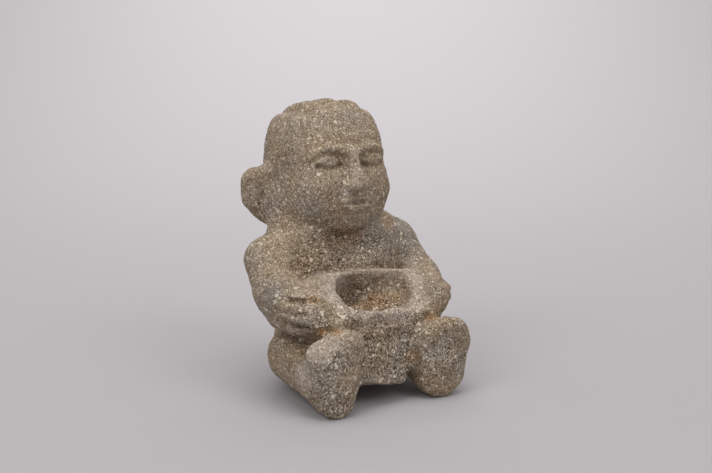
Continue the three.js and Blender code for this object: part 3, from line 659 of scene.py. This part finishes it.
GREYER = (
    ((-52, 31, 59), 10, 0.8),  # the right forearm
    ((37, 43, 73), 13, 0.6),  # the left shoulder
    ((-33, -4, 34.5), 2.5, 0.9),  # the right foot
    ((-39, -2, 20), 9, 0.3),
    ((31, 11, 55), 11, 0.45),  # the left hand
)
WORN_AND_LIT_SPOTS = (
    ((-25, 18, 60), 11, 0.5),  # between the right hand and the bowl
    ((-37, 21, 61.5), 9, 0.45),
    ((-40, 12, 50), 13, 0.3),
    ((-38, 2, 38), 11, 0.6),  # the top and outer side of the right foot
    ((-44, -1, 27), 6, 0.4),
    # painted light on the outer side of the right foot
    ((-45, 10, 20), 12, 0.5),
    ((-12, 28, 60), 11, 1.0),  # the bowl's back wall, painted light on its right part
    ((12, 27, 60), 8, 0.25),
    ((14, 9, 50), 9, 0.3),  # the front of the bowl's rim
    ((-11, 6, 49), 9, 1.0),
    ((4, 6, 49), 9, 1.0),
)
COARSER = (
    ((-12, 41, 74), 22, 1.0),  # the chest
    ((14, 40, 73), 18, 0.9),
    ((-34, 66, 92), 13, 0.8),  # the right side of the neck
    ((-27, 43, 69), 12, 0.9),
    ((-38, 12, 50), 17, 0.8),  # the right hand
    ((2, 27, 55), 15, 0.55),  # the bowl's hollow
    ((-33, -4, 10), 15, 1.0),  # the right heel
    ((-34, -4, 28), 13, 0.5),
    ((29, -4, 25), 22, 0.8),  # the left foot
)
SPOT_CORE = 0.2

# The block in the lap is coarse all over. A worn band runs round the hollow, out from its edge
# and near the plane of its mouth, and the hollow itself keeps less earth and painted shade than
# other shelter.
LAP_BLOCK_COARSE = (0.5, 5)
RIM_BAND = {"out": (6, 11), "off_mouth": (4.5, 9), "wear_and_painted_light": 0.65}
HOLLOW_INSIDE = (0, 1.4)
HOLLOW_LESS_EARTH_AND_SHADE = 0.85

# Creases, each with its two ends, depth and width, and the few larger pits, each with its middle,
# depth and width. Both are painted darker as they are deeper, a painted shade.
CUT_PAINTED_SHADE = 0.7
CREASES = (
    ((-45.4, 22, 57), (-41, 15.6, 57.3), 0.8, 1.0),  # the right hand
    ((-46.5, 25.6, 45.5), (-41.9, 18.2, 44.6), 0.8, 1.0),
    ((-37.9, 8.1, 43.9), (-30, 4, 43.8), 0.9, 1.1),
    ((10.5, 28.3, 59.8), (6, 29, 56.8), 1.1, 1.3),  # in the bowl
    ((6, 29, 56.8), (0.5, 30, 54.6), 1.1, 1.3),
    ((-21.1, 5.9, 46.3), (-22.5, 2.5, 43.3), 1.3, 1.2),  # at the corner of the bowl's front
    ((-44, 24.5, 24.8), (-45, 26, 19.8), 1.2, 1.3),  # the nick in the right thigh
    ((39, -6, 44.5), (38.4, 3, 42.5), 1.2, 1.5),  # between the left toes
    ((9, 25, 67.5), (16, 25, 67), 0.8, 1.1),  # behind the bowl's rim
)
PITS = (
    ((-33.1, -3.9, 32.5), 1.2, 1.5),
    ((-43.8, -0.5, 26), 1.2, 1.6),
    ((-41.4, -3.1, 28.8), 0.9, 1.3),
    ((-39.2, -3.4, 16.5), 1.1, 1.7),
    ((-52.4, 48.1, 68.4), 1.2, 1.4),
    ((19.8, 21.5, 56.6), 1.0, 1.3),
    ((14, 24, 54), 0.9, 1.5),
)


def strongest(spots):
    """The strongest of the spots at each point."""
    found = np.zeros(len(points))
    for place, reach, strength in spots:
        away = np.linalg.norm(points - place, axis=1)
        found = np.maximum(found, strength * (1 - ramp(away, SPOT_CORE * reach, reach)))
    return found


out_of_hollow = hollow(*points.T)
off_mouth = np.abs(from_mouth(points[:, 1], points[:, 2])[1])
in_hollow = 1 - ramp(out_of_hollow, *HOLLOW_INSIDE)
rim_band = RIM_BAND["wear_and_painted_light"] * (1 - ramp(out_of_hollow, *RIM_BAND["out"]))
rim_band = rim_band * (1 - ramp(off_mouth, *RIM_BAND["off_mouth"])) * (1 - in_hollow)
lap_there = 1 - ramp(lap_block(*points.T), *LAP_BLOCK_COARSE)
cut = np.zeros(len(points))
for start, end, deep, width in CREASES:
    cut = np.maximum(cut, deep * ridge(limb(*points.T, start, end, (0, 0)), width))
for middle, deep, width in PITS:
    cut = np.maximum(cut, deep * mound(*points.T, middle, width))
masks = {
    # brown earth in sheltered places, and painted shade that deepens in the creases and pits
    "sheltered": sheltered * (1 - HOLLOW_LESS_EARTH_AND_SHADE * in_hollow) + CUT_PAINTED_SHADE * cut,
    "exposed": exposed,
    "rust": strongest(RUST),
    # brown earth spots, with painted shade under the chin, under the bowl's rim and on its back wall
    "earth_and_shade": strongest(EARTH_AND_SHADE_SPOTS),
    "greyer": strongest(GREYER),
    # wear, and painted light on the bowl's back wall and the right foot's outer side
    "wear_and_painted_light": np.maximum(strongest(WORN_AND_LIT_SPOTS), rim_band),
    "coarse": np.maximum(strongest(COARSER), lap_there),
}

points = points - outward * cut[:, None]
points[:, 2] = np.maximum(points[:, 2], 0)
figure_mesh = bpy.data.meshes.new("stone_figure_carved")
figure_mesh.from_pydata(((points + MOVED_OVER_ORIGIN) * MM).tolist(), [], squares.tolist())
figure_mesh.shade_smooth()
for name, worth in masks.items():
    layer = figure_mesh.attributes.new(name, "FLOAT", "POINT")
    layer.data.foreach_set("value", np.maximum(worth, 0).astype(np.float32))
figure = bpy.data.objects.new("carved_stone", figure_mesh)
bpy.context.collection.objects.link(figure)

# The skin
# Hammer stones left shallow dents and pecks, weather opened pits, and nothing was polished. The
# relief is real: Geometry Nodes moves the points of the figure along their normals. Pecks are
# deeper where the stone is coarse, and the underside stays flat where it stands.
SKIN_RELIEF = {
    "Dent Size": 0.0095,
    "Dent Depth": 0.00045,
    "Peck Size": 0.0032,
    "Peck Depth": 0.00042,
    "Pit Spacing": 0.0072,
    "Pit Width": 0.0017,
    "Pit Depth": 0.0011,
    "Pit Share": 0.55,
    "Floor Margin": 0.0025,
}
SKIN_SEED = 7.3
PECKS_BY_COARSENESS = (0.75, 0.8)
PIT_WIDTHS_DIFFER = 0.6
PIT_FLOOR = 0.1


def put(tree, kind, settings=None, **values):
    """Adds a node. Settings are its own properties, values are plain inputs or links."""
    node = tree.nodes.new(kind)
    for key, value in (settings or {}).items():
        setattr(node, key, value)
    for key, value in values.items():
        socket = node.inputs[int(key[1:]) if key[1:].isdigit() else key.replace("_", " ")]
        if isinstance(value, bpy.types.NodeSocket):
            tree.links.new(value, socket)
        else:
            socket.default_value = value
    return node


def maths(tree, operation, a, b=0.0, c=0.0):
    return put(tree, "ShaderNodeMath", {"operation": operation}, i0=a, i1=b, i2=c).outputs[0]


def stepped(tree, value, low, high):
    """0 at low and 1 at high, with a smooth step between them."""
    smooth = {"interpolation_type": "SMOOTHSTEP"}
    return put(tree, "ShaderNodeMapRange", smooth, i0=value, i1=low, i2=high).outputs[0]


def shifted(tree, vector, by):
    return put(tree, "ShaderNodeVectorMath", {"operation": "ADD"}, i0=vector, i1=by).outputs[0]


skin = bpy.data.node_groups.new("pecked_skin", "GeometryNodeTree")
skin.interface.new_socket("Geometry", in_out="INPUT", socket_type="NodeSocketGeometry")
skin_inputs = {}
for name in SKIN_RELIEF:
    socket = skin.interface.new_socket(name, in_out="INPUT", socket_type="NodeSocketFloat")
    skin_inputs[name] = socket.identifier
socket = skin.interface.new_socket("Stone", in_out="INPUT", socket_type="NodeSocketMaterial")
skin_inputs["Stone"] = socket.identifier
skin.interface.new_socket("Geometry", in_out="OUTPUT", socket_type="NodeSocketGeometry")
given = skin.nodes.new("NodeGroupInput").outputs
skin_out = skin.nodes.new("NodeGroupOutput")
place = skin.nodes.new("GeometryNodeInputPosition").outputs["Position"]
normal = skin.nodes.new("GeometryNodeInputNormal").outputs["Normal"]


def waviness(size, detail):
    """Noise with lumps of the given size, from about -1 to 1."""
    fixed = {"noise_dimensions": "4D"}
    scale = maths(skin, "DIVIDE", 1.0, size)
    noise = put(skin, "ShaderNodeTexNoise", fixed, Vector=place, Scale=scale, W=SKIN_SEED, Detail=detail)
    return maths(skin, "MULTIPLY_ADD", noise.outputs[0], 4.0, -2.0)


dents = maths(skin, "MULTIPLY", waviness(given["Dent Size"], 1.0), given["Dent Depth"])
pecks = maths(skin, "MULTIPLY", waviness(given["Peck Size"], 2.0), given["Peck Depth"])
coarse_here = put(skin, "GeometryNodeInputNamedAttribute", Name="coarse").outputs[0]
peck_strength = maths(skin, "MULTIPLY_ADD", coarse_here, PECKS_BY_COARSENESS[1], PECKS_BY_COARSENESS[0])
pecks = maths(skin, "MULTIPLY", pecks, peck_strength)
pit_scale = maths(skin, "DIVIDE", 1.0, given["Pit Spacing"])
pit_cells = put(skin, "ShaderNodeTexVoronoi", Vector=place, Scale=pit_scale)
pit_away = maths(skin, "MULTIPLY", pit_cells.outputs["Distance"], given["Pit Spacing"])
pit_luck = put(skin, "FunctionNodeSeparateColor", Color=pit_cells.outputs["Color"]).outputs[0]
pit_luck = maths(skin, "DIVIDE", pit_luck, given["Pit Share"])
pit_width = maths(skin, "MULTIPLY_ADD", pit_luck, -PIT_WIDTHS_DIFFER, 1.0)
pit_width = maths(skin, "MULTIPLY", given["Pit Width"], pit_width)
pit_rise = stepped(skin, maths(skin, "DIVIDE", pit_away, pit_width), PIT_FLOOR, 1.0)
pit_shape = maths(skin, "SUBTRACT", 1.0, pit_rise)
pits = maths(skin, "MULTIPLY", pit_shape, maths(skin, "LESS_THAN", pit_luck, 1.0))
relief = maths(skin, "ADD", dents, pecks)
relief = maths(skin, "SUBTRACT", relief, maths(skin, "MULTIPLY", pits, given["Pit Depth"]))
height = put(skin, "ShaderNodeSeparateXYZ", Vector=place).outputs["Z"]
off_floor = maths(skin, "MINIMUM", maths(skin, "DIVIDE", height, given["Floor Margin"]), 1.0)
relief = maths(skin, "MULTIPLY", relief, off_floor)
move = put(skin, "ShaderNodeVectorMath", {"operation": "SCALE"}, Vector=normal, Scale=relief)
marked = put(skin, "GeometryNodeStoreNamedAttribute", Geometry=given["Geometry"], Name="pit", Value=pits)
moved = put(skin, "GeometryNodeSetPosition", Geometry=marked.outputs[0], Offset=move.outputs[0])
real = put(skin, "GeometryNodeRealizeInstances", Geometry=moved.outputs[0])
dressed = put(skin, "GeometryNodeSetMaterial", Geometry=real.outputs[0], Material=given["Stone"])
skin.links.new(dressed.outputs[0], skin_out.inputs["Geometry"])

# The stone
# Grey-brown andesite: a gritty matrix of grains under a millimetre across, parted by dark seams,
# with cream crystals and dark specks among them. Worn places, and a few with painted light, are
# paler and more even; sheltered ones keep brown earth and painted shade, pits are painted dark as
# shade, coarse ones have more contrast, and a few are stained by rust.
GRAIN = {
    "Grain Size": 0.0008,
    "Crystal Size": 0.00095,
    "Cream Share": 0.36,
    "Large Crystal Size": 0.0019,
    "Large Share": 0.06,
    "Speck Size": 0.0011,
    "Seam Width": 0.3,
}
GRAIN_BENDS = 0.7
SEAM_MIDDLE = 0.75
SEAM_DARKER = 0.4
FINE_TONE_SHARE = 0.4
CRYSTAL = {"reach": 0.55, "smaller": 0.9, "dimmer": 0.55, "edge": (-0.04, 0.08)}
SPECK_EDGE = (0.57, 0.68)
MATRIX_COLOUR = (0.292, 0.230, 0.168, 1)
WARM_COLOUR = (0.298, 0.224, 0.146, 1)
GREY_COLOUR = (0.276, 0.230, 0.186, 1)
BLUE_GREY_COLOUR = (0.205, 0.178, 0.152, 1)
EARTH_AND_SHADE_COLOUR = (0.200, 0.142, 0.084, 1)
BROWN_COLOUR = (0.200, 0.124, 0.070, 1)
WORN_AND_LIT_COLOUR = (0.430, 0.353, 0.282, 1)
RUST_COLOUR = (0.340, 0.180, 0.070, 1)
CREAM_CRYSTAL = (0.880, 0.775, 0.625, 1)
DARK_SPECK = (0.085, 0.057, 0.034, 1)
PIT_COLOUR = (0.080, 0.054, 0.032, 1)
WARM_PATCHES = {"size": 0.022, "low": 0.35, "high": 0.65}
GREY_PATCHES = {"size": 0.031, "low": 0.45, "high": 0.7}
CLOUDS = {"size": 0.0045, "low": 0.3, "high": 0.7}
CLOUD_TONES = {"least": 0.9, "more": 0.2}
SHELTER_SHOWS = (0.12, 0.75)
SHELTER_EARTH_AND_SHADE = 0.55
EXPOSED_SHOWS = (0.15, 0.6)
EXPOSED_WEAR = 0.45
WEAR_AND_LIGHT_EVENS = 0.45
EARTH_AND_SHADE_HIDE_CREAM = 0.5
PIT_DARKNESS = 0.6
ROUGHNESS = 0.92
SPECULAR = 0.15
BUMP = {"Strength": 0.9, "Distance": 0.0004}

# the grains' tone lightens or darkens the colour, red the least and blue the most, so that dark
# grains are warmer than light ones
TONE_MIDDLE = 0.37
TONE_LEAST = 0.1
TONE_POWERS = (0.86, 1.04, 1.26)

# how strong each of these is in plain stone, and how much is added where the stone is coarse
TONE_RANGE = (1.1, 0.85)
SPECK_STRENGTH = (0.25, 0.25)
CREAM_STRENGTH = (0.6, 0.4)
GRIT_HEIGHT = (0.5, 0.7)

grain = bpy.data.node_groups.new("andesite_grain", "ShaderNodeTree")
grain.interface.new_socket("Vector", in_out="INPUT", socket_type="NodeSocketVector")
for name, worth in GRAIN.items():
    grain.interface.new_socket(name, in_out="INPUT", socket_type="NodeSocketFloat").default_value = worth
for name in ("Tone", "Cream", "Dark", "Height"):
    grain.interface.new_socket(name, in_out="OUTPUT", socket_type="NodeSocketFloat")
grain_in = grain.nodes.new("NodeGroupInput").outputs
grain_out = grain.nodes.new("NodeGroupOutput")

# the grains are bent out of their regular cells first
bend_scale = maths(grain, "DIVIDE", GRAIN_BENDS, grain_in["Grain Size"])
bend_noise = put(grain, "ShaderNodeTexNoise", Vector=grain_in["Vector"], Scale=bend_scale, Detail=2.0)
bend = shifted(grain, bend_noise.outputs["Color"], (-0.5, -0.5, -0.5))
bend = put(grain, "ShaderNodeVectorMath", {"operation": "SCALE"}, Vector=bend, Scale=grain_in["Grain Size"])
bent = shifted(grain, grain_in["Vector"], bend.outputs[0])


def mosaic(size, by):
    """
    Cells of the given size: the distance to the middle of each, and its own random number. Each
    use is moved by its own amount, so that no two share their cells.
    """
    scale = maths(grain, "DIVIDE", 1.0, size)
    cells = put(grain, "ShaderNodeTexVoronoi", Vector=shifted(grain, bent, by), Scale=scale)
    luck = put(grain, "ShaderNodeSeparateColor", Color=cells.outputs["Color"]).outputs[1]
    return cells.outputs["Distance"], luck


def crystals(share, size, by):
    """Scattered crystals: a mask, from the share of cells that hold one. The larger are brighter."""
    away, luck = mosaic(size, by)
    held = maths(grain, "LESS_THAN", luck, share)
    reach = maths(grain, "MULTIPLY_ADD", luck, -CRYSTAL["smaller"], CRYSTAL["reach"])
    there = stepped(grain, maths(grain, "SUBTRACT", reach, away), *CRYSTAL["edge"])
    bright = maths(grain, "MULTIPLY_ADD", maths(grain, "DIVIDE", luck, share), -CRYSTAL["dimmer"], 1.0)
    return maths(grain, "MULTIPLY", there, maths(grain, "MULTIPLY", held, bright))


cream = crystals(grain_in["Cream Share"], grain_in["Crystal Size"], (0, 0, 0))
large = crystals(grain_in["Large Share"], grain_in["Large Crystal Size"], (0.013, 0.029, 0.019))
cream = maths(grain, "MAXIMUM", cream, large)
speck_place = shifted(grain, grain_in["Vector"], (0.031, 0.017, 0.023))
speck_scale = maths(grain, "DIVIDE", 1.0, grain_in["Speck Size"])
speck_noise = put(grain, "ShaderNodeTexNoise", Vector=speck_place, Scale=speck_scale, Detail=2.0)
dark = stepped(grain, speck_noise.outputs[0], *SPECK_EDGE)
grain_away, grain_tone = mosaic(grain_in["Grain Size"], (0.011, 0.007, 0.003))
fine_away, fine_tone = mosaic(maths(grain, "MULTIPLY", grain_in["Grain Size"], 0.5), (0.003, 0.013, 0.007))
seam_from = maths(grain, "SUBTRACT", SEAM_MIDDLE, grain_in["Seam Width"])
seam = stepped(grain, grain_away, seam_from, SEAM_MIDDLE)
tone = maths(grain, "MULTIPLY", grain_tone, 1 - FINE_TONE_SHARE)
tone = maths(grain, "MULTIPLY_ADD", fine_tone, FINE_TONE_SHARE, tone)
tone = maths(grain, "MULTIPLY_ADD", seam, -SEAM_DARKER, tone)

# each grain has its own height and is domed, crystals stand out and dark specks are sunk
bumps = grain_tone
for part, amount in ((grain_away, -0.9), (fine_away, -0.3), (cream, 0.3), (dark, -0.7)):
    bumps = maths(grain, "MULTIPLY_ADD", part, amount, bumps)
for name, socket in (("Tone", tone), ("Cream", cream), ("Dark", dark), ("Height", bumps)):
    grain.links.new(socket, grain_out.inputs[name])

andesite = bpy.data.materials.new("andesite")
andesite.use_nodes = True
tree = andesite.node_tree
shader = tree.nodes["Principled BSDF"]
where = tree.nodes.new("ShaderNodeTexCoord").outputs["Object"]


def stored(name):
    return put(tree, "ShaderNodeAttribute", {"attribute_name": name}).outputs["Fac"]


def blotches(size, low, high):
    """Soft patches of the given size, 0 to 1."""
    noise = put(tree, "ShaderNodeTexNoise", Vector=where, Scale=1 / size, Detail=3.0)
    return stepped(tree, noise.outputs[0], low, high)


def mixed(amount, a, b, how="MIX"):
    settings = {"data_type": "RGBA", "blend_type": how}
    return put(tree, "ShaderNodeMix", settings, i0=amount, i6=a, i7=b).outputs[2]


coarse_part = stored("coarse")


def by_coarseness(value, strength):
    """The value, at its strength in plain stone and at more where the stone is coarse."""
    plain, more = strength
    return maths(tree, "MULTIPLY", value, maths(tree, "MULTIPLY_ADD", coarse_part, more, plain))


grains = put(tree, "ShaderNodeGroup", {"node_tree": grain}, Vector=where)
for name, worth in GRAIN.items():
    grains.inputs[name].default_value = worth
shelter = stepped(tree, stored("sheltered"), *SHELTER_SHOWS)
wear_and_light = maths(tree, "MULTIPLY", stepped(tree, stored("exposed"), *EXPOSED_SHOWS), EXPOSED_WEAR)
wear_and_light = maths(tree, "MAXIMUM", wear_and_light, stored("wear_and_painted_light"))
contrast = maths(tree, "MULTIPLY_ADD", wear_and_light, -WEAR_AND_LIGHT_EVENS, 1.0)

# the broad colours
colour = mixed(blotches(**WARM_PATCHES), MATRIX_COLOUR, WARM_COLOUR)
colour = mixed(blotches(**GREY_PATCHES), colour, GREY_COLOUR)
# paler where worn, and where light is painted on the bowl's back wall and the right foot
colour = mixed(wear_and_light, colour, WORN_AND_LIT_COLOUR)
colour = mixed(stored("greyer"), colour, BLUE_GREY_COLOUR)
# brown earth and painted shade in sheltered places, creases and pits
colour = mixed(maths(tree, "MULTIPLY", shelter, SHELTER_EARTH_AND_SHADE), colour, EARTH_AND_SHADE_COLOUR)
# brown earth spots, with painted shade under the chin and the bowl's rim
colour = mixed(stored("earth_and_shade"), colour, BROWN_COLOUR)
colour = mixed(stored("rust"), colour, RUST_COLOUR)

# the grains, lighter and darker
tone = maths(tree, "SUBTRACT", grains.outputs["Tone"], TONE_MIDDLE)
tone = maths(tree, "MULTIPLY", by_coarseness(tone, TONE_RANGE), contrast)
clouds = maths(tree, "MULTIPLY_ADD", blotches(**CLOUDS), CLOUD_TONES["more"], CLOUD_TONES["least"])
tone = maths(tree, "MULTIPLY", maths(tree, "ADD", tone, 1.0), clouds)
tone = maths(tree, "MAXIMUM", tone, TONE_LEAST)
red, green, blue = (maths(tree, "POWER", tone, power) for power in TONE_POWERS)
tone = put(tree, "ShaderNodeCombineColor", Red=red, Green=green, Blue=blue).outputs[0]
colour = mixed(1.0, colour, tone, "MULTIPLY")

# the specks, crystals and pits
specks = maths(tree, "MULTIPLY", by_coarseness(grains.outputs["Dark"], SPECK_STRENGTH), contrast)
colour = mixed(specks, colour, DARK_SPECK)
# earth and painted shade hide some of the cream crystals
bare_and_unshaded = maths(tree, "MULTIPLY_ADD", stored("earth_and_shade"), -EARTH_AND_SHADE_HIDE_CREAM, 1.0)
creams = maths(tree, "MULTIPLY", by_coarseness(grains.outputs["Cream"], CREAM_STRENGTH), bare_and_unshaded)
colour = mixed(creams, colour, CREAM_CRYSTAL)
# the pits are painted dark, a painted shade
colour = mixed(maths(tree, "MULTIPLY", stored("pit"), PIT_DARKNESS), colour, PIT_COLOUR)

tree.links.new(colour, shader.inputs["Base Color"])
shader.inputs["Roughness"].default_value = ROUGHNESS
shader.inputs["Specular IOR Level"].default_value = SPECULAR
grit = maths(tree, "MULTIPLY", by_coarseness(grains.outputs["Height"], GRIT_HEIGHT), contrast)
bump = put(tree, "ShaderNodeBump", Height=grit, **BUMP)
tree.links.new(bump.outputs["Normal"], shader.inputs["Normal"])

modifier = figure.modifiers.new("skin", "NODES")
modifier.node_group = skin
for name, worth in SKIN_RELIEF.items():
    modifier[skin_inputs[name]] = worth
modifier[skin_inputs["Stone"]] = andesite
made = bpy.data.meshes.new_from_object(figure.evaluated_get(bpy.context.evaluated_depsgraph_get()))
figure.modifiers.remove(modifier)
figure.data = made

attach(figure, "root")
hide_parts("stone_figure")
